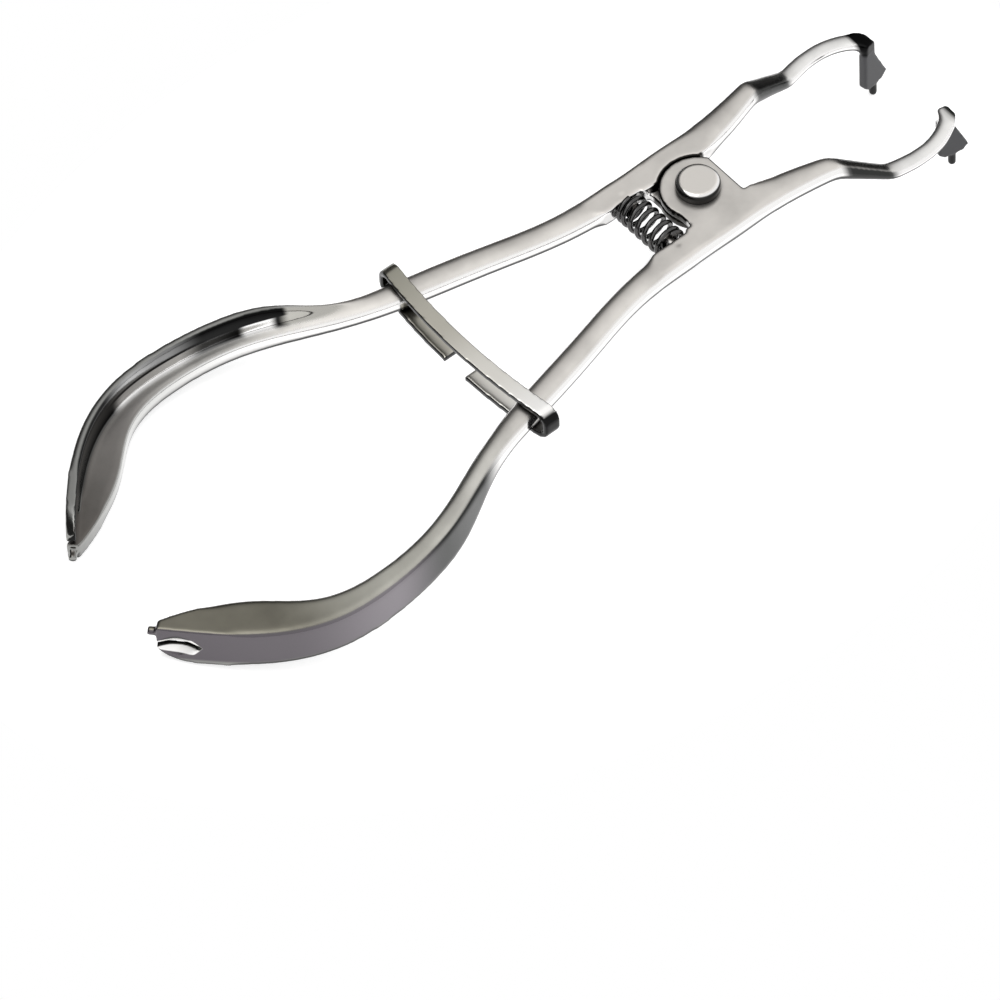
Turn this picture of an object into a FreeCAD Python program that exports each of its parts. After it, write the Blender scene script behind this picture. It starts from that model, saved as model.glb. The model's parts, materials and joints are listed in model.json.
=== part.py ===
"""Matrix band forceps: two bent steel arms on a rivet, a coil spring and a sliding lock ring.

The forceps are drawn about the rivet: X runs towards the jaws, +Y is the side of the
upper arm and Z is the rivet's axis. They are drawn half open, as the ring holds them.
At the end every piece is laid down together, as the tool comes to rest on a table.
"""
import FreeCAD
import Part
import itertools
import math
import os

from FreeCAD import Placement, Rotation, Vector

doc = FreeCAD.newDocument("MatrixBandForceps")
sheet = doc.addObject("Spreadsheet::Sheet", "Sizes")

# Driving sizes, in millimetres and degrees
SIZES = [
    ("bar_thickness", 3.4),
    # Half-lap joint
    ("ear_radius", 6.7),
    ("ear_front", 5.5),
    ("ear_back", 6.2),
    ("ear_root", 0.6),
    ("lap_clearance", 0.05),
    ("recess_clearance", 0.15),
    # Rivet
    ("rivet_radius", 2.2),
    ("rivet_fit", 0.03),
    ("rivet_head_radius", 3.85),
    ("rivet_head_height", 1.9),
    ("rivet_head_round", 0.9),
    # Spring and its studs
    ("spring_station", 10.6),
    ("spring_radius", 3.0),
    ("spring_wire", 0.9),
    ("spring_turns", 6.5),
    ("spring_half_space", 5.9),
    ("spring_seat_room", 0.3),
    ("spring_end_gap", 0.05),
    ("stud_radius", 1.5),
    ("stud_height", 2.2),
    ("stud_depth", 1.6),
    ("stud_fit", 0.02),
    # Cranked jaw
    ("crank_start", 20.5),
    ("crank_run", 10.5),
    ("jaw_drop", 8.0),
    ("jaw_thickness", 1.9),
    ("jaw_closed_half", 0.42),
    ("crank_bend", 3.0),
    # Blade at the end of each jaw, and its peg
    ("blade_thickness", 1.6),
    ("blade_gap", 0.1),
    ("blade_back", 3.57),
    ("blade_neck", 2.8),
    ("blade_neck_length", 4.0),
    ("blade_flare", 5.8),
    ("blade_bottom", 18.4),
    ("blade_chamfer", 1.1),
    ("blade_round", 0.3),
    ("blade_heel_round", 0.6),
    ("blade_top_round", 1.2),
    ("blade_neck_round", 3.0),
    ("peg_radius", 0.7),
    ("peg_length", 3.2),
    ("peg_round", 0.4),
    ("peg_ahead", 2.9),
    ("peg_root", 1.0),
    # Grip
    ("grip_start", 52.0),
    ("grip_depth", 8.1),
    ("grip_wall", 1.7),
    ("grip_lean", 0.3),
    ("grip_lean_run", 20.0),
    ("grip_rise_lag", 9.0),
    ("grip_rise", 11.0),
    ("grip_rise_bend", 25.0),
    ("grip_end_round", 4.5),
    # Slit and knob at the end of each grip
    ("slit_width", 1.0),
    ("slit_length", 7.0),
    ("facet_disc_radius", 6.5),
    ("facet_height", 2.4),
    ("facet_depth", 1.2),
    ("knob_radius", 0.75),
    ("knob_length", 1.5),
    ("knob_inset", 0.9),
    ("knob_root", 2.0),
    # Lock ring
    ("ring_station", 50.0),
    ("ring_width", 3.0),
    ("ring_strip", 1.1),
    ("ring_play", 1.6),
    ("ring_headroom", 0.3),
    ("ring_corner", 1.3),
    ("ring_bow", 2.0),
    ("ring_gap", 5.0),
]

# Outer edge of an arm from the jaw to the end of the grip: distance along the tool
# from the rivet, distance from its middle, and the width of the bar there
STATIONS = [
    ("jaw_end", 48.2, 9.8, 3.0),
    ("jaw_bend", 43.8, 14.2, 3.0),
    ("jaw_bow", 37.5, 15.8, 3.1),
    ("crank_foot", 31.0, 15.1, 3.3),
    ("crank_top", 20.5, 12.9, 4.1),
    ("joint_front", 8.0, 11.2, 5.8),
    ("joint_rear", -8.0, 11.2, 5.8),
    ("shank_front", -22.0, 11.8, 5.0),
    ("shank_middle", -36.0, 15.2, 5.0),
    ("shank_ring", -50.0, 18.6, 5.0),
    ("grip_root", -62.0, 21.7, 4.1),
    ("grip_shoulder", -76.0, 27.4, 3.7),
    ("grip_bow", -90.0, 30.3, 4.2),
    ("grip_turn", -104.0, 29.4, 5.6),
    ("grip_tail", -116.0, 22.8, 7.5),
    ("grip_heel", -122.5, 16.4, 5.4),
    ("grip_tip", -127.0, 11.4, 1.9),
]

for name, along, aside, width in STATIONS:
    SIZES.append((name + "_along", along))
    SIZES.append((name + "_aside", aside))
    SIZES.append((name + "_wide", width))

for row, (alias, value) in enumerate(SIZES, start=1):
    sheet.set("A%d" % row, alias)
    sheet.set("B%d" % row, str(value))
    sheet.setAlias("B%d" % row, alias)
doc.recompute()


def size(alias):
    """The value of one named cell of the sheet."""
    return float(sheet.get(alias))


def bind(item, **formulas):
    """Tie properties of an object to formulas over the sheet's cells."""
    for path, formula in formulas.items():
        item.setExpression(path.replace("__", "."), formula)
    return item


def cylinder(name, radius, height, **formulas):
    item = doc.addObject("Part::Cylinder", name)
    return bind(item, Radius=radius, Height=height, **formulas)


def box(name, length, width, height, **formulas):
    item = doc.addObject("Part::Box", name)
    return bind(item, Length=length, Width=width, Height=height, **formulas)


def extrusion(name, profile, direction, forward, backward):
    item = doc.addObject("Part::Extrusion", name)
    item.Base = profile
    item.DirMode = "Custom"
    item.Dir = direction
    item.Solid = True
    return bind(item, LengthFwd=forward, LengthRev=backward)


def fused(name, pieces):
    item = doc.addObject("Part::MultiFuse", name)
    item.Shapes = pieces
    item.Refine = True
    return item


def common(name, first, second):
    item = doc.addObject("Part::MultiCommon", name)
    item.Shapes = [first, second]
    return item


def cut(name, base, tool):
    item = doc.addObject("Part::Cut", name)
    item.Base = base
    item.Tool = tool
    return item


def kept(name, shape):
    """An outline kept as an object, so that the features after it can use it."""
    item = doc.addObject("Part::Feature", name)
    item.Shape = shape
    return item


def loft(name, sections):
    item = doc.addObject("Part::Loft", name)
    item.Sections = sections
    item.Solid = True
    item.Ruled = True
    return item


def rounded_wire(corners):
    """A closed outline of straight lines; each corner is a point and its rounding radius."""
    edges = []
    count = len(corners)
    starts = []
    ends = []
    arcs = []
    for index, (point, radius) in enumerate(corners):
        before = (corners[index - 1][0] - point).normalize()
        after = (corners[(index + 1) % count][0] - point).normalize()
        if radius <= 0:
            starts.append(point)
            ends.append(point)
            arcs.append(None)
            continue
        half = before.getAngle(after) / 2
        reach = radius / math.tan(half)
        middle = (before + after).normalize() * (radius / math.sin(half) - radius)
        starts.append(point + before * reach)
        ends.append(point + after * reach)
        arcs.append(Part.Arc(starts[-1], point + middle, ends[-1]).toShape())
    for index in range(count):
        if arcs[index]:
            edges.append(arcs[index])
        edges.append(Part.makeLine(ends[index], starts[(index + 1) % count]))
    return Part.Wire(edges)


def spline(points):
    curve = Part.BSplineCurve()
    curve.interpolate(points)
    return curve


def parameter_at(curve, along):
    """Where the arm's edge curve crosses one station along the tool."""
    low, high = curve.FirstParameter, curve.LastParameter
    for _ in range(60):
        middle = (low + high) / 2
        if curve.value(middle).x > along:
            low = middle
        else:
            high = middle
    return low


thickness = size("bar_thickness")
half_bar = thickness / 2

# Outer and inner edge of the upper arm, seen from above
outer_points = []
for name, *_ in STATIONS:
    outer_points.append(Vector(size(name + "_along"), size(name + "_aside"), 0))
outer_edge = spline(outer_points)

# The arms stand open by the angle that brings the ends of the jaws together when they close
jaw_end = outer_points[0]
closed_turn = math.asin(size("jaw_closed_half") / jaw_end.Length)
half_opening = math.degrees(math.atan2(jaw_end.y, jaw_end.x) - closed_turn)
closed_jaw_end = jaw_end.Length * math.cos(closed_turn)
blade_rear = closed_jaw_end - size("blade_back")
blade_middle = size("blade_gap") + size("blade_thickness") / 2
peg_station = blade_rear + size("peg_ahead")


def outward(along_parameter):
    """The direction away from the tool's middle, square to the outer edge."""
    tangent = outer_edge.tangent(along_parameter)[0]
    return Vector(0, 0, 1).cross(tangent) * -1


inner_points = []
for point, (name, *_) in zip(outer_points, STATIONS):
    square = outward(outer_edge.parameter(point))
    inner_points.append(point - square * size(name + "_wide"))
inner_edge = spline(inner_points)


def on_arm(point, side, flip=1):
    """A point of the upper arm, or its twin on the lower arm."""
    return Vector(point.x, point.y * side, point.z * flip)


def curve_between(curve, first, last, side, level=0.0, flip=1):
    """A stretch of an arm's edge between two parameters, at one level."""
    piece = curve.toShape(first, last)
    piece.translate(Vector(0, 0, level * flip))
    if side < 0:
        piece = piece.mirror(Vector(0, 0, 0), Vector(0, 1, 0))
    return piece


def band_wire(outer, inner):
    """Two edges that run side by side, closed by straight lines at both ends."""
    outer_first, outer_last = outer.valueAt(outer.FirstParameter), outer.valueAt(outer.LastParameter)
    inner_first, inner_last = inner.valueAt(inner.FirstParameter), inner.valueAt(inner.LastParameter)
    tail = Part.makeLine(outer_last, inner_last)
    head = Part.makeLine(inner_first, outer_first)
    return Part.Wire(Part.__sortEdges__([outer, tail, inner, head]))


def arm_outline(side):
    """The whole bar seen from above, from the jaw's end to the grip's tip."""
    outer = curve_between(outer_edge, outer_edge.FirstParameter, outer_edge.LastParameter, side)
    inner = curve_between(inner_edge, inner_edge.FirstParameter, inner_edge.LastParameter, side)
    return band_wire(outer, inner)


def at(along, level):
    return Vector(along, 0, level)


def bar_side_view():
    """The bar seen from the side: straight shank, crank down and level jaw."""
    start = size("crank_start")
    foot = start + size("crank_run")
    drop = half_bar - size("jaw_drop")
    under = drop - size("jaw_thickness")
    slope = size("jaw_drop") / size("crank_run")
    shift = size("jaw_thickness") * math.tan(math.atan(slope) / 2)
    bend = size("crank_bend")
    swing = Rotation(Vector(0, 0, 1), half_opening)
    beyond = swing.multVec(Vector(blade_rear + size("blade_neck"), blade_middle, 0)).x
    return rounded_wire([
        (at(-size("grip_start"), half_bar), 0),
        (at(start, half_bar), bend),
        (at(foot, drop), bend),
        (at(beyond, drop), size("blade_top_round")),
        (at(beyond, under), 0),
        (at(foot - shift, under), bend),
        (at(start - shift, -half_bar), bend),
        (at(-size("grip_start"), -half_bar), 0),
    ])


def grip_side_view(flip):
    """The grip seen from the side: the plate, and the wall that rises along its edge."""
    start = -size("grip_start")
    rise = start - size("grip_rise_lag")
    top = size("grip_depth") - half_bar
    end = size("grip_tip_along") - size("grip_lean") / 2
    shoulder = rise - size("grip_rise")
    bend = size("grip_rise_bend")
    corners = [
        (start, half_bar, 0),
        (rise, half_bar, bend),
        (shoulder, top, bend),
        (end, top, size("grip_end_round")),
        (end, -half_bar, 0),
        (start, -half_bar, 0),
    ]
    return rounded_wire([(at(along, level * flip), radius) for along, level, radius in corners])


def lean_at(along):
    """How far the top of the wall leans out, from nothing at the grip's root."""
    share = (-size("grip_start") - along) / size("grip_lean_run")
    share = max(0.0, min(1.0, share))
    return size("grip_lean") * share * share * (3 - 2 * share)


# Points that draw one edge of the leaning wall
GRIP_POINTS = 14
grip_first = parameter_at(outer_edge, size("grip_lean") * 2 - size("grip_start"))
grip_first_inner = parameter_at(inner_edge, size("grip_lean") * 2 - size("grip_start"))


def grip_point(parameter, setback, level, share, side, flip):
    """A point a set distance inside the grip's leaning outer face."""
    point = outer_edge.value(parameter)
    moved = point + outward(parameter) * (lean_at(point.x) * share - setback)
    return on_arm(Vector(moved.x, moved.y, level), side, flip)


def grip_samples(setback, level, share, side, flip):
    """Points along the grip, evenly spread from its root to its tip."""
    step = (outer_edge.LastParameter - grip_first) / (GRIP_POINTS - 1)
    return [grip_point(grip_first + step * index, setback, level, share, side, flip)
            for index in range(GRIP_POINTS)]


def sample_band(outer_setback, inner_setback, level, share, side, flip):
    outer = spline(grip_samples(outer_setback, level, share, side, flip)).toShape()
    inner = spline(grip_samples(inner_setback, level, share, side, flip)).toShape()
    return band_wire(outer, inner)


def blade_side_view():
    """The blade in the closed tool: a narrow neck that flares forward to a barb."""
    rear = blade_rear
    top = half_bar - size("jaw_drop")
    bottom = -size("blade_bottom")
    neck = rear + size("blade_neck")
    front = rear + size("blade_flare")
    chamfer = size("blade_chamfer")
    return rounded_wire([
        (at(rear, top), size("blade_heel_round")),
        (at(neck, top), size("blade_top_round")),
        (at(neck, top - size("blade_neck_length")), size("blade_neck_round")),
        (at(front, bottom + chamfer), size("blade_round")),
        (at(front - chamfer, bottom), size("blade_round")),
        (at(rear + chamfer, bottom), size("blade_round")),
        (at(rear, bottom + chamfer), size("blade_round")),
    ])


def turned_open(item, side):
    """Swings a piece drawn in the closed tool out to the half-open place of its arm."""
    item.Placement = Placement(Vector(), Rotation(Vector(0, 0, side), half_opening)) * item.Placement
    return item


def jaw_tip(word, side):
    """The blade and its peg, flat against the other arm's when the jaws are shut."""
    view = blade_side_view()
    view.translate(Vector(0, side * size("blade_gap"), 0))
    blade = extrusion(word + "_blade", kept(word + "_blade_view", Part.Face(view)),
                      Vector(0, side, 0), "Sizes.blade_thickness", "0")
    turned_open(blade, side)
    middle = side * blade_middle
    peg = cylinder(word + "_peg", "Sizes.peg_radius", "Sizes.peg_length - Sizes.peg_round + Sizes.peg_root")
    peg.Placement = Placement(
        Vector(peg_station, middle, -size("blade_bottom") + size("peg_root")),
        Rotation(Vector(1, 0, 0), 180))
    turned_open(peg, side)
    tip = doc.addObject("Part::Cone", word + "_peg_tip")
    bind(tip, Radius1="Sizes.peg_radius", Radius2="Sizes.peg_radius - Sizes.peg_round",
         Height="Sizes.peg_round")
    tip.Placement = Placement(
        Vector(peg_station, middle, size("peg_round") - size("blade_bottom") - size("peg_length")),
        Rotation(Vector(1, 0, 0), 180))
    turned_open(tip, side)
    return [blade, peg, tip]


def parting(word, side):
    """What is ground off the end of a jaw, so that the two jaws meet flat."""
    tool = box(word + "_parting", "Sizes.blade_flare * 2", "Sizes.jaw_end_wide", "Sizes.blade_bottom")
    start = size("blade_gap") - size("jaw_end_wide") if side > 0 else -size("blade_gap")
    tool.Placement.Base = Vector(blade_rear - size("blade_flare") / 2, start, -size("blade_bottom"))
    return turned_open(tool, side)


def ear(word, side):
    """Half of the joint: a round ear, flat in front, on a neck that runs to its own arm."""
    floor = -half_bar if side > 0 else size("lap_clearance") / 2
    depth = "Sizes.bar_thickness / 2 - Sizes.lap_clearance / 2"
    disc = cylinder(word + "_ear_disc", "Sizes.ear_radius", depth)
    disc.Placement.Base.z = floor
    front = box(word + "_ear_front", "Sizes.ear_radius + Sizes.ear_front", "Sizes.ear_radius * 2", depth)
    front.Placement.Base = Vector(-size("ear_radius"), -size("ear_radius"), floor)
    reach = "Sizes.joint_front_aside - Sizes.joint_front_wide + Sizes.ear_root"
    neck = box(word + "_ear_neck", "Sizes.ear_back + Sizes.ear_front", reach, depth)
    own_side = 0 if side > 0 else size("joint_front_wide") - size("joint_front_aside") - size("ear_root")
    neck.Placement.Base = Vector(-size("ear_back"), own_side, floor)
    return [common(word + "_ear", disc, front), neck]


def grip(word, side):
    """The grip: an L section, its wall leaning out along the outer edge of the plate."""
    flip = side
    top = size("grip_depth") - half_bar
    foot = band_wire(
        curve_between(outer_edge, grip_first, outer_edge.LastParameter, side, -half_bar, flip),
        curve_between(inner_edge, grip_first_inner, inner_edge.LastParameter, side, -half_bar, flip))
    crest = band_wire(
        spline(grip_samples(0, top, 1, side, flip)).toShape(),
        curve_between(inner_edge, grip_first_inner, inner_edge.LastParameter, side, top, flip))
    block = loft(word + "_block", [kept(word + "_block_foot", foot), kept(word + "_block_crest", crest)])
    wall = size("grip_wall")
    far = wall + size("grip_bow_wide") * 2
    low = sample_band(wall, far, half_bar, half_bar / top, side, flip)
    high = sample_band(wall, far, top + wall, 1, side, flip)
    hollow = loft(word + "_hollow", [kept(word + "_hollow_foot", low), kept(word + "_hollow_crest", high)])
    side_view = kept(word + "_grip_view", Part.Face(grip_side_view(flip)))
    slab = extrusion(word + "_grip_slab", side_view, Vector(0, side, 0), "Sizes.grip_bow_aside * 2", "0")
    return common(word + "_grip", cut(word + "_channel", block, hollow), slab)


def along_tip(side, back, sideways, level):
    """A place near the end of the grip: back from its tip, and out from its outer edge."""
    end = outer_edge.LastParameter
    heading = outer_edge.tangent(end)[0]
    spot = outer_edge.value(end) - heading * back + outward(end) * sideways
    angle = math.degrees(math.atan2(heading.y * side, heading.x))
    return Placement(on_arm(Vector(spot.x, spot.y, level), side, side), Rotation(Vector(0, 0, 1), angle))


def grip_end_tools(word, side):
    """The slit at the end of the grip's wall, dished above and below by a disc cutter."""
    level = size("grip_depth") / 2 - half_bar
    slit = box(word + "_slit", "Sizes.slit_length * 2", "Sizes.grip_wall * 6", "Sizes.slit_width")
    centred = Placement(Vector(0, -size("grip_wall") * 3, -size("slit_width") / 2), Rotation())
    slit.Placement = along_tip(side, size("slit_length"), 0, level) * centred
    outside = size("facet_disc_radius") - size("facet_depth") + size("grip_lean") / 2
    spot = along_tip(side, size("slit_length") / 2, outside, level)
    halves = [slit]
    for name, turned in (("_facet_above", 0), ("_facet_below", 180)):
        cone = doc.addObject("Part::Cone", word + name)
        bind(cone, Radius1="Sizes.facet_disc_radius", Radius2="Sizes.facet_disc_radius - Sizes.facet_depth",
             Height="Sizes.facet_height")
        cone.Placement = spot * Placement(Vector(), Rotation(Vector(1, 0, 0), turned))
        halves.append(cone)
    return halves


def knob(word, side):
    """A small round knob that stands out of the end of the grip, at the plate's level."""
    pin = cylinder(word + "_knob", "Sizes.knob_radius", "Sizes.knob_length + Sizes.knob_root")
    spot = along_tip(side, size("knob_root"), -size("knob_inset"), 0)
    pin.Placement = spot * Placement(Vector(), Rotation(Vector(0, 1, 0), 90))
    return pin


def joint_tools(word, side):
    """What is cut out of an arm at the joint: recess, rivet hole, spring seat and stud hole."""
    lap = size("lap_clearance") / 2
    recess = cylinder(word + "_recess", "Sizes.ear_radius + Sizes.recess_clearance", "Sizes.bar_thickness")
    recess.Placement.Base.z = -lap if side > 0 else lap - thickness
    hole = cylinder(word + "_rivet_hole", "Sizes.rivet_radius + Sizes.rivet_fit", "Sizes.bar_thickness * 2")
    hole.Placement.Base.z = -thickness
    seat = cylinder(word + "_spring_seat", "Sizes.spring_radius + Sizes.spring_seat_room",
                    "Sizes.spring_half_space")
    stud_hole = cylinder(word + "_stud_hole", "Sizes.stud_radius + Sizes.stud_fit",
                         "Sizes.spring_half_space + Sizes.stud_depth + Sizes.stud_fit")
    for tool in (seat, stud_hole):
        tool.Placement = Placement(Vector(-size("spring_station"), 0, 0), Rotation(Vector(1, 0, 0), -90 * side))
    return [recess, hole, seat, stud_hole]


def build_arm(word, side):
    """One forged arm. The upper arm has its ear below and its grip wall above."""
    outline = kept(word + "_outline", Part.Face(arm_outline(side)))
    plate = extrusion(word + "_plate", outline, Vector(0, 0, 1),
                      "Sizes.bar_thickness", "Sizes.jaw_drop * 2")
    side_view = kept(word + "_side_view", Part.Face(bar_side_view()))
    slab = extrusion(word + "_slab", side_view, Vector(0, side, 0), "Sizes.grip_bow_aside * 2", "0")
    bar = common(word + "_bar", plate, slab)
    forging = [bar, grip(word, side), knob(word, side)] + ear(word, side) + jaw_tip(word, side)
    solid = fused(word + "_forging", forging)
    tools = fused(word + "_cuts", joint_tools(word, side) + grip_end_tools(word, side) + [parting(word, side)])
    return cut(word + "_arm", solid, tools)


def rivet():
    """The pivot: a pin through both ears with a flat, round-edged head on each side."""
    body = doc.addObject("PartDesign::Body", "pivot_rivet")
    shank = body.newObject("PartDesign::AdditiveCylinder", "RivetShank")
    bind(shank, Radius="Sizes.rivet_radius",
         Height="Sizes.bar_thickness + 2 * Sizes.lap_clearance + 2 * Sizes.rivet_head_height")
    shank.setExpression("Placement.Base.z",
                        "-(Sizes.bar_thickness / 2 + Sizes.lap_clearance + Sizes.rivet_head_height)")
    heads = (("RivetTopHead", "Sizes.bar_thickness / 2 + Sizes.lap_clearance"),
             ("RivetBottomHead", "-(Sizes.bar_thickness / 2 + Sizes.lap_clearance + Sizes.rivet_head_height)"))
    for name, level in heads:
        head = body.newObject("PartDesign::AdditiveCylinder", name)
        bind(head, Radius="Sizes.rivet_head_radius", Height="Sizes.rivet_head_height")
        head.setExpression("Placement.Base.z", level)
    doc.recompute()
    crown = half_bar + size("lap_clearance") + size("rivet_head_height")
    rims = []
    for index, edge in enumerate(head.Shape.Edges, start=1):
        if not isinstance(edge.Curve, Part.Circle):
            continue
        on_crown = abs(abs(edge.Curve.Center.z) - crown) < size("lap_clearance") / 2
        if on_crown and edge.Curve.Radius > (size("rivet_radius") + size("rivet_head_radius")) / 2:
            rims.append("Edge%d" % index)
    rounding = body.newObject("PartDesign::Fillet", "RivetRound")
    rounding.Base = (head, rims)
    bind(rounding, Radius="Sizes.rivet_head_round")
    return body


def spring():
    """The compression spring that pushes the arms apart behind the joint."""
    helix = doc.addObject("Part::Helix", "SpringLine")
    bind(helix, Radius="Sizes.spring_radius - Sizes.spring_wire / 2",
         Height="2 * (Sizes.spring_half_space - Sizes.spring_end_gap) - Sizes.spring_wire",
         Pitch="(2 * (Sizes.spring_half_space - Sizes.spring_end_gap) - Sizes.spring_wire) / Sizes.spring_turns")
    wire = doc.addObject("Part::Circle", "SpringWire")
    bind(wire, Radius="Sizes.spring_wire / 2")
    wire.Placement = Placement(Vector(size("spring_radius") - size("spring_wire") / 2, 0, 0),
                               Rotation(Vector(1, 0, 0), 90))
    coil = doc.addObject("Part::Sweep", "coil_spring")
    coil.Sections = [wire]
    coil.Spine = (helix, ["Edge1"])
    coil.Solid = True
    coil.Frenet = True
    half = size("spring_half_space") - size("spring_end_gap") - size("spring_wire") / 2
    return coil, Placement(Vector(-size("spring_station"), -half, 0), Rotation(Vector(1, 0, 0), -90))


def stud(word, side):
    """A short pin pressed into the arm, which keeps the end of the spring in place."""
    pin = cylinder(word + "_spring_stud", "Sizes.stud_radius", "Sizes.stud_height + Sizes.stud_depth")
    reach = size("spring_half_space") - size("stud_height")
    return pin, Placement(Vector(-size("spring_station"), side * reach, 0), Rotation(Vector(1, 0, 0), -90 * side))


def lock_ring():
    """One bent strip round both arms, its ends apart below; it bows towards the grips."""
    station = -size("ring_station")
    half_width = size("ring_width") / 2
    widest = outer_edge.value(parameter_at(outer_edge, station - half_width)).y
    inside = widest + size("ring_play")
    room = half_bar + size("ring_headroom")
    strip = size("ring_strip")
    corner = size("ring_corner")
    bow = size("ring_bow")
    far = station - half_width - bow * 2

    def loop(across, tall, radius):
        return rounded_wire([(Vector(far, y, z), radius)
                             for y, z in ((across, tall), (-across, tall), (-across, -tall), (across, -tall))])

    outside = Part.Face(loop(inside + strip, room + strip, corner + strip))
    section = kept("RingSection", outside.cut(Part.Face(loop(inside, room, corner))))
    sleeve = extrusion("RingSleeve", section, Vector(1, 0, 0), "Sizes.ring_width + Sizes.ring_bow * 4", "0")

    reach = inside + strip * 2
    low, high = -room - strip * 2, room + strip * 2
    front = station + half_width
    rear = station - half_width

    def bowed(along, first, last):
        return Part.Arc(Vector(along, first, low), Vector(along - bow, 0, low), Vector(along, last, low)).toShape()

    band = Part.Wire([
        bowed(front, reach, -reach),
        Part.makeLine(Vector(front, -reach, low), Vector(rear, -reach, low)),
        bowed(rear, -reach, reach),
        Part.makeLine(Vector(rear, reach, low), Vector(front, reach, low)),
    ])
    bow_band = extrusion("RingBow", kept("RingBowOutline", Part.Face(band)), Vector(0, 0, 1),
                         "2 * (Sizes.bar_thickness / 2 + Sizes.ring_headroom + 2 * Sizes.ring_strip)", "0")
    ring = common("RingStrip", sleeve, bow_band)
    gap = box("RingGap", "Sizes.ring_width + Sizes.ring_bow * 4", "Sizes.ring_gap", "Sizes.bar_thickness")
    gap.Placement.Base = Vector(far, -size("ring_gap") / 2, -room - thickness + strip)
    return cut("lock_ring", ring, gap)


upper_arm = build_arm("upper", 1)
lower_arm = build_arm("lower", -1)
pieces = {
    "upper_arm": (upper_arm, Placement()),
    "lower_arm": (lower_arm, Placement()),
    "pivot_rivet": (rivet(), Placement()),
    "coil_spring": spring(),
    "upper_spring_stud": stud("upper", 1),
    "lower_spring_stud": stud("lower", -1),
    "lock_ring": (lock_ring(), Placement()),
}
doc.recompute()


def resting_plane():
    """The table under the tool: a peg tip, the lower grip's wall and the upper grip's plate."""
    turn = Rotation(Vector(0, 0, 1), half_opening)
    peg = turn.multVec(Vector(peg_station, blade_middle, -size("blade_bottom") - size("peg_length")))
    pegs = [on_arm(peg, 1), on_arm(peg, -1)]
    crest = size("grip_depth") - half_bar
    wall_end = size("grip_tip_along") + size("grip_end_round") / 2
    wall = [point for point in grip_samples(0, crest, 1, -1, -1) if point.x > wall_end]
    wall.append(grip_point(parameter_at(outer_edge, wall_end), 0, crest, 1, -1, -1))
    plate = grip_samples(0, -half_bar, 0, 1, 1)
    best = None
    for feet in itertools.product(pegs, wall, plate):
        normal = (feet[1] - feet[0]).cross(feet[2] - feet[0]).normalize()
        if normal.z < 0:
            normal = normal * -1
        level = feet[0].dot(normal)
        sunk = min(point.dot(normal) - level for point in pegs + wall + plate)
        if best is None or sunk > best[0]:
            best = (sunk, normal)
    return best[1]


def laid_down():
    """The placement that lays the whole tool on the table, its middle over the origin."""
    turn = Rotation(resting_plane(), Vector(0, 0, 1))
    level = Placement(Vector(), turn)
    whole = Part.makeCompound([item.Shape.copy() for item, _ in pieces.values()])
    whole.Placement = level
    heading = turn.multVec(Vector(1, 0, 0))
    swing = Placement(Vector(), Rotation(Vector(0, 0, 1), -math.degrees(math.atan2(heading.y, heading.x))))
    whole.Placement = swing * level
    bounds = whole.optimalBoundingBox(False, False)
    middle = bounds.Center
    return Placement(Vector(-middle.x, -middle.y, -bounds.ZMin), Rotation()) * swing * level


lie = laid_down()
for label, (item, place) in pieces.items():
    item.Label = label
    item.Placement = lie * place
doc.recompute()

for item in doc.Objects:
    if "Invalid" in item.State or "Error" in item.State:
        raise RuntimeError("%s failed: %s" % (item.Name, item.State))
for label, (item, place) in pieces.items():
    if item.Shape.isNull() or not item.Shape.isValid():
        raise RuntimeError("%s has no valid shape" % label)

os.makedirs("parts", exist_ok=True)
for label, (item, place) in pieces.items():
    item.Shape.exportStep("parts/" + label + ".step")
    print(label, round(item.Shape.Volume, 2), "mm3", len(item.Shape.Solids), "solid", len(item.Shape.Faces), "faces")
print("laid down at", lie)
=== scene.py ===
import json
import math

import bmesh
import bpy
from mathutils import Matrix, Vector


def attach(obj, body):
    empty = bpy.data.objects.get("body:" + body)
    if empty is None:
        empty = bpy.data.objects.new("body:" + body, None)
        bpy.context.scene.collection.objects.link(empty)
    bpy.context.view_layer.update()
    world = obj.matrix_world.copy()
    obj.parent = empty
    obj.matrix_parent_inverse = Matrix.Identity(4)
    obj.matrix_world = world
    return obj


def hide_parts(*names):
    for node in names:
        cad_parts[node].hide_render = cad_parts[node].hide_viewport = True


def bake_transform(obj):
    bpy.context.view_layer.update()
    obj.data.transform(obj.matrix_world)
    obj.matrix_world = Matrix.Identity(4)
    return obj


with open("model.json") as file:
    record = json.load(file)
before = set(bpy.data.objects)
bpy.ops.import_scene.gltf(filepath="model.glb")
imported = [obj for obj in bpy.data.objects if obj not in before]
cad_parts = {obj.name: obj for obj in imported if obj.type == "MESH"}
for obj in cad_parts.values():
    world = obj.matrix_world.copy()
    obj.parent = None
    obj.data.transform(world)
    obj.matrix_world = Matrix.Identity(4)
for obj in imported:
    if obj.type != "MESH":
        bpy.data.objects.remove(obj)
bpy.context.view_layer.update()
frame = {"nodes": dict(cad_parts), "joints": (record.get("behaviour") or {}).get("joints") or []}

# The half-lap joint. The two arms turn flat against each other on one rivet, so
# every face of the tool is square to the rivet's axis or runs along it.
mm = 0.001
hinge = next(joint for joint in frame["joints"] if joint["type"] == "hinge")
joint_centre = Vector(hinge["pos_m"])
rivet_axis = Vector(hinge["axis"]).normalized()
jaw_ward = Vector((rivet_axis.z, 0, -rivet_axis.x)).normalized()
arm_ward = rivet_axis.cross(jaw_ward)

# The arms. Each is one stainless forging with every edge worn round. The flat faces are
# ground satin and the sides polished; the grips are painted darker towards their ends, a
# painted reflection, and the blades at the jaws' ends are dark grey.
net_size = 0.22
smoothing = 0.5

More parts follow.
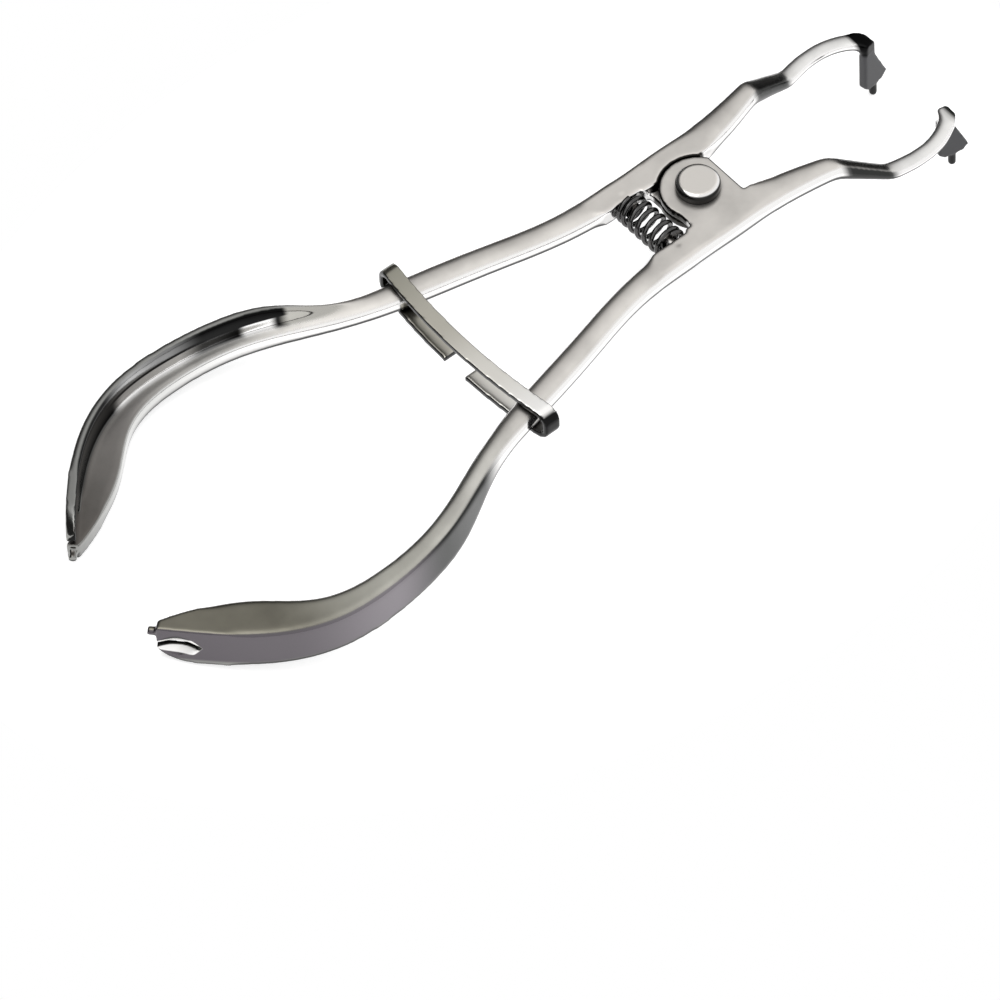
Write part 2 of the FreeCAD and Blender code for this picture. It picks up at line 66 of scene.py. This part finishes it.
# How worn an arm is: passes of smoothing, and where they change, in millimetres from the
# joint's centre.
shank_passes = 100
crank_fewer = 54
grip_fewer = 66
least_passes = 4
joint_rim = (8, 13)
spring_seat_middle = -10.5
spring_seat_side = (4.5, 7)
spring_seat_mouth = (9, 11)
crank_span = (20, 34)
grip_root_span = (-78, -60)
slit_span = (-120, -116)
jaw_tip_span = (44, 46)
blade_top_span = (-9.5, -8.5)


def forged(name, node_name, passes_at):
    """The node's shape again as an even net, its edges worn by passes of smoothing."""
    to_tool = Matrix((jaw_ward, arm_ward, rivet_axis)).to_4x4() @ Matrix.Translation(-joint_centre)
    to_tool = Matrix.Scale(1 / mm, 4) @ to_tool
    net = frame["nodes"][node_name].data.copy()
    net.transform(to_tool)
    blank = bpy.data.objects.new(name + "_blank", net)
    bpy.context.scene.collection.objects.link(blank)
    remesh = blank.modifiers.new("net", "REMESH")
    remesh.mode = "VOXEL"
    remesh.voxel_size = net_size
    bpy.context.view_layer.update()
    shape = bmesh.new()
    shape.from_mesh(blank.evaluated_get(bpy.context.evaluated_depsgraph_get()).data)
    bpy.data.objects.remove(blank)
    passes = [(vertex, passes_at(*vertex.co)) for vertex in shape.verts]
    for index in range(max(count for _, count in passes)):
        worn = [vertex for vertex, count in passes if count > index]
        bmesh.ops.smooth_vert(shape, verts=worn, factor=smoothing,
                              use_axis_x=True, use_axis_y=True, use_axis_z=True)
    mesh = bpy.data.meshes.new(name)
    shape.to_mesh(mesh)
    shape.free()
    mesh.transform(to_tool.inverted())
    mesh.materials.clear()
    for face in mesh.polygons:
        face.use_smooth = True
    piece = bpy.data.objects.new(name, mesh)
    bpy.context.scene.collection.objects.link(piece)
    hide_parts(node_name)
    return piece


def between(value, low, high):
    """From 0 to 1 as a value goes from low to high, easing in and out."""
    share = min(1.0, max(0.0, (value - low) / (high - low)))
    return share * share * (3 - 2 * share)


def arm_wear(along, aside, level):
    """Passes of wear: many along the shanks, few at the joint, the slit and the blades."""
    passes = shank_passes - crank_fewer * between(along, *crank_span)
    passes -= grip_fewer * (1 - between(along, *grip_root_span))
    passes *= between(math.hypot(along, aside), *joint_rim)
    passes *= max(between(abs(along - spring_seat_middle), *spring_seat_side),
                  between(abs(aside), *spring_seat_mouth))
    passes *= between(along, *slit_span) * (1 - between(along, *jaw_tip_span))
    passes *= between(level, *blade_top_span)
    return max(least_passes, round(passes))


def node(tree, kind, sockets=None, **settings):
    """A shader node with its settings; a socket takes a value or another node's output."""
    item = tree.nodes.new(kind)
    for setting, value in settings.items():
        setattr(item, setting, value)
    for socket, value in (sockets or {}).items():
        if isinstance(value, bpy.types.NodeSocket):
            tree.links.new(value, item.inputs[socket])
        else:
            item.inputs[socket].default_value = value
    return item


def maths(tree, operation, *values):
    """The result of one operation on numbers or on other nodes' outputs."""
    return node(tree, "ShaderNodeMath", dict(enumerate(values)), operation=operation).outputs[0]


def times(tree, share, *others):
    """The product of two or more shares."""
    for other in others:
        share = maths(tree, "MULTIPLY", share, other)
    return share


def ramp(tree, value, span):
    """From 0 to 1 as a value goes from one end of a span to the other."""
    item = node(tree, "ShaderNodeMapRange",
                {"Value": value, "From Min": span[0], "From Max": span[1]},
                interpolation_type="SMOOTHSTEP")
    return item.outputs["Result"]


def blended(tree, share, first, second):
    """A number between two others."""
    return node(tree, "ShaderNodeMix", {0: share, 2: first, 3: second}).outputs[0]


def mixed(tree, share, first, second):
    """A colour between two others."""
    first, second = (value if isinstance(value, bpy.types.NodeSocket) else (*value, 1)
                     for value in (first, second))
    return node(tree, "ShaderNodeMix", {0: share, 6: first, 7: second},
                data_type="RGBA").outputs[2]


def measured(tree, direction):
    """How far a point lies from the joint's centre in one direction, in millimetres."""
    position = tree.nodes.new("ShaderNodeTexCoord").outputs["Object"]
    offset = node(tree, "ShaderNodeVectorMath", {0: position, 1: joint_centre},
                  operation="SUBTRACT").outputs[0]
    return node(tree, "ShaderNodeVectorMath", {0: offset, 1: direction / mm},
                operation="DOT_PRODUCT").outputs["Value"]


def facing(tree, direction):
    """How squarely a face looks in one direction, from -1 to 1."""
    normal = tree.nodes.new("ShaderNodeTexCoord").outputs["Normal"]
    return node(tree, "ShaderNodeVectorMath", {0: normal, 1: direction},
                operation="DOT_PRODUCT").outputs["Value"]


def flat_reach(tree, along, aside):
    """The distance that two flat measures come to."""
    place = node(tree, "ShaderNodeCombineXYZ", {0: along, 1: aside}).outputs[0]
    return node(tree, "ShaderNodeVectorMath", {0: place}, operation="LENGTH").outputs["Value"]


def noise(tree, scale, detail=3.0, roughness=0.5):
    """Mottling that stays with the piece."""
    position = tree.nodes.new("ShaderNodeTexCoord").outputs["Object"]
    return node(tree, "ShaderNodeTexNoise",
                {"Vector": position, "Scale": scale, "Detail": detail,
                 "Roughness": roughness}).outputs["Fac"]


def toned(tree, measure, stops):
    """A colour that changes with a measure; each stop is a distance and its colour."""
    first, last = stops[0][0], stops[-1][0]
    share = node(tree, "ShaderNodeMapRange",
                 {"Value": measure, "From Min": first, "From Max": last})
    item = node(tree, "ShaderNodeValToRGB", {"Fac": share.outputs["Result"]})
    item.color_ramp.interpolation = "EASE"
    while len(item.color_ramp.elements) < len(stops):
        item.color_ramp.elements.new(0.5)
    for element, (station, colour) in zip(item.color_ramp.elements, stops):
        element.position = (station - first) / (last - first)
        element.color = (*colour, 1)
    return item.outputs["Color"]


def in_corners(tree, reach):
    """Where painted shade falls: 0 deep in a corner or a gap, 1 on an open face."""
    shade = node(tree, "ShaderNodeAmbientOcclusion", {"Distance": reach * mm}, samples=8)
    return ramp(tree, shade.outputs["AO"], (0.30, 0.72))


def steel(name):
    """A new steel with a bare shader, and its tree to build the finish in."""
    material = bpy.data.materials.new(name)
    material.use_nodes = True
    shader = material.node_tree.nodes["Principled BSDF"]
    shader.inputs["Metallic"].default_value = 1.0
    return material, material.node_tree, shader


bump_depth = 0.02


def finished(tree, shader, tone, roughness, grain, strength):
    """Set a steel's colour and roughness, and a fine grain of bumps."""
    tree.links.new(tone, shader.inputs["Base Color"])
    tree.links.new(roughness, shader.inputs["Roughness"])
    bump = node(tree, "ShaderNodeBump",
                {"Strength": strength, "Distance": bump_depth * mm, "Height": grain})
    tree.links.new(bump.outputs[0], shader.inputs["Normal"])


satin_grain = 5200
cloud_size = 90.0
# Lit and shaded copies of one satin: painted lighter at the jaws, painted darker along the grips
# and their tails, as painted reflection.
painted_lit_jaw_satin = (0.86, 0.85, 0.83)
shank_satin = (0.74, 0.71, 0.67)
painted_dim_grip_satin = (0.50, 0.49, 0.44)
painted_dark_tail_satin = (0.20, 0.19, 0.155)
bright_side = (0.88, 0.87, 0.86)
# Painted reflections: violet-grey, dark and black tones stand for the dim room mirrored in the
# steel.
painted_violet_reflection = (0.20, 0.185, 0.20)
painted_dark_reflection = (0.035, 0.036, 0.035)
painted_black_reflection = (0.006, 0.006, 0.006)
painted_rim_reflection = (0.24, 0.24, 0.23)
channel_mouth = (0.42, 0.41, 0.38)
dull_blade = (0.065, 0.065, 0.068)
black_peg = (0.025, 0.025, 0.025)
# Painted shade on faces turned down, under the arms and at the rivet's foot.
painted_underside_shade = (0.03, 0.03, 0.03)
# Painted shade in corners, gaps, the ear's groove and the slit.
painted_corner_shade = (0.03, 0.028, 0.026)

# Where each finish begins and ends. A tilt is how squarely a face looks one way, and the
# rest are in millimetres from the joint's centre.
satin_tilt = (0.72, 0.97)
under_tilt = (0.04, -0.12)
blade_span = (-8.4, -9.2)
peg_span = (-18.2, -18.5)
groove_span = (7.7, 7.3)
groove_tilt = (0.985, 0.93)
channel_level = (1.6, 2.2)
channel_start = (-58.5, -60.5)
channel_rim_level = (5.0, 5.8)
wall_tilt = (0.15, 0.5)
fold_foot = (3.7, 4.0)
fold_head = (4.7, 4.3)
fold_start = (-70, -74)
hollow_tilt = (0.05, 0.2)
hollow_head = (4.0, 3.7)

# The disc that ground the facets round the slit: its centre, how its edge slopes, and the
# almond that it leaves.
facet_disc = (-128.7, 17.6, 2.35)
facet_slope = 0.5
facet_edge = (6.8, 6.65)
almond_middle = 4.7
almond_bow = 0.10
almond_edge = (1.95, 1.75)
slit_edge = (0.68, 0.52)


def facet_and_slit(tree, along, aside, level, flip):
    """The bright facets at the end of a grip, and the painted shade in the slit between them."""
    ahead = maths(tree, "SUBTRACT", along, facet_disc[0])
    beside = maths(tree, "SUBTRACT", aside, facet_disc[1] * flip)
    height = maths(tree, "ABSOLUTE", maths(tree, "SUBTRACT", level, facet_disc[2] * flip))
    ground = maths(tree, "MULTIPLY_ADD", height, facet_slope, flat_reach(tree, ahead, beside))
    from_middle = maths(tree, "SUBTRACT", ahead, almond_middle)
    almond = maths(tree, "MULTIPLY_ADD", times(tree, from_middle, from_middle), almond_bow, height)
    facet = times(tree, ramp(tree, ground, facet_edge), ramp(tree, almond, almond_edge))
    return facet, times(tree, facet, ramp(tree, height, slit_edge))


def arm_steel(name, flip, stops):
    """An arm's finish; flip is 1 for the arm whose channel faces up, -1 for the other."""
    material, tree, shader = steel(name)
    along = measured(tree, jaw_ward)
    aside = measured(tree, arm_ward)
    level = measured(tree, rivet_axis)
    upward = facing(tree, rivet_axis)
    satin = ramp(tree, maths(tree, "ABSOLUTE", upward), satin_tilt)
    grain = noise(tree, satin_grain, roughness=0.6)
    cloud = noise(tree, cloud_size, detail=4.0, roughness=0.55)

    clouding = blended(tree, ramp(tree, cloud, (0.2, 1.1)), 1.0, 0.5)
    flat_tone = node(tree, "ShaderNodeVectorMath",
                     {0: toned(tree, along, stops["flat"]), "Scale": clouding},
                     operation="SCALE").outputs[0]
    tone = mixed(tree, satin, toned(tree, along, stops["side"]), flat_tone)

    raised = maths(tree, "MULTIPLY", level, flip)
    channelled = times(tree, ramp(tree, raised, channel_level), ramp(tree, along, channel_start))
    # The channel's flange and rim are painted with reflection tones.
    flange = times(tree, channelled, satin)
    tone = mixed(tree, flange, tone, toned(tree, along, stops["flange"]))
    rim = times(tree, channelled, ramp(tree, raised, channel_rim_level))
    tone = mixed(tree, rim, tone, painted_rim_reflection)
    # Faces turned down are painted dark: painted shade under the arm.
    tone = mixed(tree, ramp(tree, upward, under_tilt), tone, painted_underside_shade)
    blade = ramp(tree, level, blade_span)
    tone = mixed(tree, blade, tone, dull_blade)
    tone = mixed(tree, ramp(tree, level, peg_span), tone, black_peg)
    # The groove round the ear is painted dark: painted shade in the gap.
    groove_shade = times(tree, ramp(tree, flat_reach(tree, along, aside), groove_span),
                   ramp(tree, upward, groove_tilt))
    tone = mixed(tree, groove_shade, tone, painted_corner_shade)
    facet, slit = facet_and_slit(tree, along, aside, level, flip)
    tone = mixed(tree, facet, tone, bright_side)
    # The slit is painted dark: painted shade inside it.
    tone = mixed(tree, slit, tone, painted_corner_shade)
    # Corners and gaps are painted dark: painted shade.
    tone = mixed(tree, in_corners(tree, 2.2), painted_corner_shade, tone)

    # The channel's wall, the fold along it and the hollow where it meets the flange are painted
    # with reflections: black, a grey streak, white streaks and a glint.
    turned_in = facing(tree, (jaw_ward * 0.3 - arm_ward * 0.95) * flip)
    wall = times(tree, channelled, ramp(tree, turned_in, wall_tilt))
    tone = mixed(tree, wall, tone, toned(tree, along, stops["wall"]))
    fold = times(tree, wall, ramp(tree, raised, fold_foot), ramp(tree, raised, fold_head),
                 ramp(tree, along, fold_start))
    tone = mixed(tree, fold, tone, painted_black_reflection)
    hollow = times(tree, channelled, ramp(tree, turned_in, hollow_tilt),
                   ramp(tree, raised, hollow_head))
    tone = mixed(tree, hollow, tone, toned(tree, along, stops["hollow"]))

    rough = blended(tree, satin, 0.13, blended(tree, grain, 0.26, 0.38))
    rough = blended(tree, wall, rough, 0.12)
    rough = blended(tree, facet, rough, 0.5)
    rough = blended(tree, blade, rough, 0.45)
    finished(tree, shader, tone, rough, grain, 0.25)
    return material


# Tones from the grip's end to the jaw's tip, most of them painted reflection: darker grips,
# dark crank slopes, lighter jaws and black tips. The upper arm's grip shows its channel: a flat
# flange, a polished wall above it, and the hollow where they meet, painted with black
# reflections, white streaks and a glint.
unseen_channel = [(-126, painted_dark_reflection), (-60, painted_dark_reflection)]
upper_stops = {
    "flat": [(-126, (0.13, 0.12, 0.11)), (-106, (0.20, 0.19, 0.18)), (-84, (0.42, 0.41, 0.39)),
             (-64, shank_satin), (26, shank_satin), (34, painted_lit_jaw_satin), (43.9, painted_lit_jaw_satin),
             (44.5, painted_black_reflection)],
    "side": [(-126, (0.25, 0.25, 0.24)), (-104, (0.55, 0.55, 0.54)), (-66, bright_side),
             (19.5, bright_side), (21.5, painted_dark_reflection), (29.5, painted_dark_reflection), (31.5, bright_side),
             (43.9, bright_side), (44.5, painted_black_reflection)],
    "flange": [(-126, (0.09, 0.08, 0.075)), (-108, (0.15, 0.145, 0.13)),
               (-98, (0.30, 0.30, 0.30)), (-80, (0.22, 0.22, 0.22)), (-70, (0.36, 0.36, 0.35)),
               (-60, shank_satin)],
    "wall": [(-126, painted_black_reflection), (-106, (0.02, 0.02, 0.02)), (-99, (0.36, 0.36, 0.36)),
             (-92, (0.20, 0.20, 0.20)), (-84, painted_black_reflection), (-70.5, painted_black_reflection),
             (-69.5, channel_mouth), (-60, channel_mouth)],
    "hollow": [(-126, painted_black_reflection), (-104, painted_black_reflection), (-101, bright_side),
               (-89, bright_side), (-84, (0.10, 0.10, 0.10)), (-78, painted_black_reflection),
               (-76.5, bright_side), (-73, bright_side), (-71.5, painted_black_reflection),
               (-69.5, channel_mouth), (-60, channel_mouth)],
}
lower_stops = {
    "flat": [(-126, painted_dark_tail_satin), (-112, painted_dark_tail_satin), (-90, painted_dim_grip_satin),
             (-66, (0.66, 0.645, 0.60)), (-50, shank_satin), (26, shank_satin),
             (34, painted_lit_jaw_satin), (45.4, painted_lit_jaw_satin), (46.4, painted_dark_reflection)],
    "side": [(-126, (0.11, 0.10, 0.11)), (-112, (0.12, 0.11, 0.12)), (-92, painted_violet_reflection),
             (-78, painted_dark_reflection), (-67, painted_dark_reflection), (-60, bright_side), (20.5, bright_side),
             (22.5, painted_dark_reflection), (30, painted_dark_reflection), (32, bright_side), (45.4, bright_side),
             (46.4, painted_dark_reflection)],
    "flange": unseen_channel,
    "wall": unseen_channel,
    "hollow": unseen_channel,
}
for side, flip, stops in (("upper", 1, upper_stops), ("lower", -1, lower_stops)):
    node_name = side + "_arm"
    finish = arm_steel(node_name + "_steel", flip, stops)
    arm = forged("ground_" + node_name, node_name, arm_wear)
    arm.data.materials.append(finish)
    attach(arm, side)

# The rivet. A turned steel pin through both ears, headed over flat on each side. Its crown
# is ground with the arms, and its polished rim is painted dark towards the foot: painted shade.
polish = (0.80, 0.79, 0.78)
crown_tilt = (0.9, 0.98)
foot_tilt = (0.78, 0.58)


def dressed(node_name, finish):
    """Give a CAD piece its finish and leave its shape as it is."""
    materials = frame["nodes"][node_name].data.materials
    materials.clear()
    materials.append(finish)


rivet_finish, tree, shader = steel("rivet_steel")
upward = facing(tree, rivet_axis)
crown = ramp(tree, maths(tree, "ABSOLUTE", upward), crown_tilt)
tone = mixed(tree, crown, polish, shank_satin)
# The rim is painted dark towards the foot: painted shade.
tone = mixed(tree, ramp(tree, upward, foot_tilt), tone, painted_underside_shade)
# Corners and gaps are painted dark: painted shade.
tone = mixed(tree, in_corners(tree, 1.2), painted_corner_shade, tone)
finished(tree, shader, tone, blended(tree, crown, 0.12, 0.34), noise(tree, satin_grain), 0.2)
dressed("pivot_rivet", rivet_finish)

# The spring. Drawn wire wound into five open turns with a closed turn at each end; it sits
# over two short studs and pushes the shanks apart.
wire = 0.45
coil_radius = 2.55
coil_station = -10.6
coil_half = 5.75
open_turns = 5.0
closed_turns = 1.0
steps_a_turn = 40
sides = 14
small_turn = 0.01
drawn_grain = 2600.0
wire_dark = (0.045, 0.045, 0.047)
wire_bright = (0.12, 0.117, 0.114)


def on_tool(along, aside, level):
    """A place on the half-open tool, in millimetres from the joint's centre."""
    return joint_centre + (jaw_ward * along + arm_ward * aside + rivet_axis * level) * mm


def coil_centre(turn):
    """The middle of the wire after so many turns, counted from the lower arm."""
    closed = 2 * wire * closed_turns
    whole = 2 * (coil_half - wire)
    if turn < closed_turns:
        rise = 2 * wire * turn
    elif turn > closed_turns + open_turns:
        rise = whole - 2 * wire * (2 * closed_turns + open_turns - turn)
    else:
        rise = closed + (whole - 2 * closed) * (turn - closed_turns) / open_turns
    angle = 2 * math.pi * turn
    return on_tool(coil_station + coil_radius * math.sin(angle), rise - coil_half + wire,
                   coil_radius * math.cos(angle))


coil = bmesh.new()
rings = []
all_turns = open_turns + 2 * closed_turns
count = int(all_turns * steps_a_turn)
for step in range(count + 1):
    turn = all_turns * step / count
    centre = coil_centre(turn)
    heading = (coil_centre(turn + small_turn) - coil_centre(turn - small_turn)).normalized()
    outward = centre - on_tool(coil_station, 0, 0)
    outward -= arm_ward * outward.dot(arm_ward)
    outward.normalize()
    beside = heading.cross(outward).normalized()
    ring = []
    for side in range(sides):
        angle = 2 * math.pi * side / sides
        spoke = outward * math.cos(angle) + beside * math.sin(angle)
        ring.append(coil.verts.new(centre + spoke * wire * mm))
    rings.append(ring)
for first, second in zip(rings, rings[1:]):
    for side in range(sides):
        after = (side + 1) % sides
        coil.faces.new((first[side], first[after], second[after], second[side]))
coil.faces.new(list(reversed(rings[0])))
coil.faces.new(rings[-1])
bmesh.ops.recalc_face_normals(coil, faces=coil.faces)
coil_mesh = bpy.data.meshes.new("wound_spring")
coil.to_mesh(coil_mesh)
coil.free()
for face in coil_mesh.polygons:
    face.use_smooth = len(face.vertices) == 4
spring = bpy.data.objects.new("wound_spring", coil_mesh)
bpy.context.scene.collection.objects.link(spring)

spring_finish, tree, shader = steel("spring_steel")
draw_marks = noise(tree, drawn_grain, detail=2.0)
finished(tree, shader, mixed(tree, draw_marks, wire_dark, wire_bright),
         blended(tree, draw_marks, 0.08, 0.22), draw_marks, 0.15)
spring.data.materials.append(spring_finish)
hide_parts("coil_spring")
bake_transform(spring)

# The studs. Two turned pins pressed into the shanks, which the ends of the spring sit
# over; only a little of each shows between the wires.
dressed("upper_spring_stud", rivet_finish)
dressed("lower_spring_stud", rivet_finish)

# The lock ring. One polished strip bent round both shanks, its ends left apart
# underneath; it slides down the spreading shanks and holds the jaws open.
ring_passes = 5
ring_top_tilt = (0.70, 0.95)
# The ring's tones are painted reflection: its top runs from black at the bend to white beside it
# and dims towards the far end, and its sides are painted near black.
ring_top_painted_reflection = [(-21.6, painted_black_reflection), (-20.6, (0.92, 0.91, 0.89)), (-8, (0.74, 0.72, 0.67)),
                  (6, (0.50, 0.48, 0.42)), (21, (0.33, 0.32, 0.27))]
ring_side_painted_reflection = [(-21, (0.012, 0.012, 0.012)), (-17, (0.07, 0.07, 0.07)),
                   (21, (0.05, 0.05, 0.05))]


def ring_wear(along, aside, level):
    """The ring is worn alike all over."""
    return ring_passes


ring_finish, tree, shader = steel("ring_steel")
top = ramp(tree, facing(tree, rivet_axis), ring_top_tilt)
across = measured(tree, arm_ward)
tone = mixed(tree, top, toned(tree, across, ring_side_painted_reflection), toned(tree, across, ring_top_painted_reflection))
# Corners and gaps are painted dark: painted shade.
tone = mixed(tree, in_corners(tree, 1.5), painted_corner_shade, tone)
finished(tree, shader, tone, blended(tree, top, 0.10, 0.30), noise(tree, satin_grain), 0.2)
ring = forged("bent_ring", "lock_ring", ring_wear)
ring.data.materials.append(ring_finish)
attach(ring, "ring")

# The table. An oval white board under the tool, which the steel mirrors near by; past its
# edge the steel mirrors the dim room.
board_reach = (0.118, 0.075)
board_white = 0.72
board_lift = 0.62
white = (1, 1, 1, 1)
board_mesh = bpy.data.meshes.new("board")
board = bmesh.new()
bmesh.ops.create_circle(board, cap_ends=True, segments=128, radius=1)
bmesh.ops.scale(board, vec=(*board_reach, 1), verts=board.verts)
board.to_mesh(board_mesh)
board.free()
board = bpy.data.objects.new("board", board_mesh)
bpy.context.scene.collection.objects.link(board)
board_paint = bpy.data.materials.new("board_paint")
board_paint.use_nodes = True
tree = board_paint.node_tree
tree.nodes.clear()
ray = tree.nodes.new("ShaderNodeLightPath")
seen = maths(tree, "MAXIMUM", ray.outputs["Is Camera Ray"], ray.outputs["Is Glossy Ray"])
seen = maths(tree, "MAXIMUM", seen, ray.outputs["Is Transmission Ray"])
paint = node(tree, "ShaderNodeBsdfDiffuse", {"Color": (board_white, board_white, board_white, 1)})
lift = node(tree, "ShaderNodeEmission",
            {"Color": white, "Strength": times(tree, seen, board_lift)})
both = node(tree, "ShaderNodeAddShader", {0: paint.outputs[0], 1: lift.outputs[0]})
node(tree, "ShaderNodeOutputMaterial", {"Surface": both.outputs[0]})
board.data.materials.append(board_paint)

# The light. One wide bright side of the room, low on the lower arm's side, the rest of it
# dim, and one wide soft lamp; the picture's background is plain white.
bright_glow = 1.05
dim_glow = 0.05
bright_side_edge = (-0.04, 0.24)
bright_from = (jaw_ward * 0.30 - arm_ward * 0.75 + rivet_axis * 0.60).normalized()
world = bpy.data.worlds.new("studio")
world.use_nodes = True
tree = world.node_tree
tree.nodes.clear()
direction = tree.nodes.new("ShaderNodeTexCoord").outputs["Generated"]
toward = node(tree, "ShaderNodeVectorMath", {0: direction, 1: bright_from},
              operation="DOT_PRODUCT").outputs["Value"]
glow = blended(tree, ramp(tree, toward, bright_side_edge), dim_glow, bright_glow)
ray = tree.nodes.new("ShaderNodeLightPath")
strength = blended(tree, ray.outputs["Is Camera Ray"], glow, 1.0)
sky = node(tree, "ShaderNodeBackground", {"Color": white, "Strength": strength})
node(tree, "ShaderNodeOutputWorld", {"Surface": sky.outputs[0]})
bpy.context.scene.world = world

lamp_data = bpy.data.lights.new("soft_lamp", "AREA")
lamp_data.shape = "RECTANGLE"
lamp_data.size = 0.5
lamp_data.size_y = 0.35
lamp_data.energy = 1.0
lamp = bpy.data.objects.new("soft_lamp", lamp_data)
bpy.context.scene.collection.objects.link(lamp)
lamp.location = (-0.25, 0.15, 0.6)
lamp.rotation_euler = (-lamp.location).to_track_quat("-Z", "Y").to_euler()

# The camera. A long lens, high behind the grips and a little to one side, aimed so that
# the rivet falls where the photo has it.
photo_width = 1000
rivet_in_photo = (698.3, 193.1)
pixels_a_mm = 5.9834
distance = 2.5
sensor = 36
view_right = jaw_ward * 0.76204 - arm_ward * 0.64677 - rivet_axis * 0.02647
view_up = jaw_ward * 0.52476 + arm_ward * 0.59331 + rivet_axis * 0.61011
view_back = view_right.cross(view_up).normalized()
view_right = view_up.cross(view_back).normalized()
view_up = view_back.cross(view_right)
off_right = (photo_width / 2 - rivet_in_photo[0]) / pixels_a_mm * mm
off_up = (rivet_in_photo[1] - photo_width / 2) / pixels_a_mm * mm
aim = joint_centre + view_right * off_right + view_up * off_up
camera_data = bpy.data.cameras.new("camera")
camera_data.sensor_width = sensor
camera_data.lens = sensor * distance / (photo_width / pixels_a_mm * mm)
camera_data.clip_end = 20
camera = bpy.data.objects.new("camera", camera_data)
bpy.context.scene.collection.objects.link(camera)
turned = Matrix((view_right, view_up, view_back)).transposed().to_4x4()
camera.matrix_world = Matrix.Translation(aim + view_back * distance) @ turned
bpy.context.scene.camera = camera
bpy.context.scene.view_settings.view_transform = "Standard"
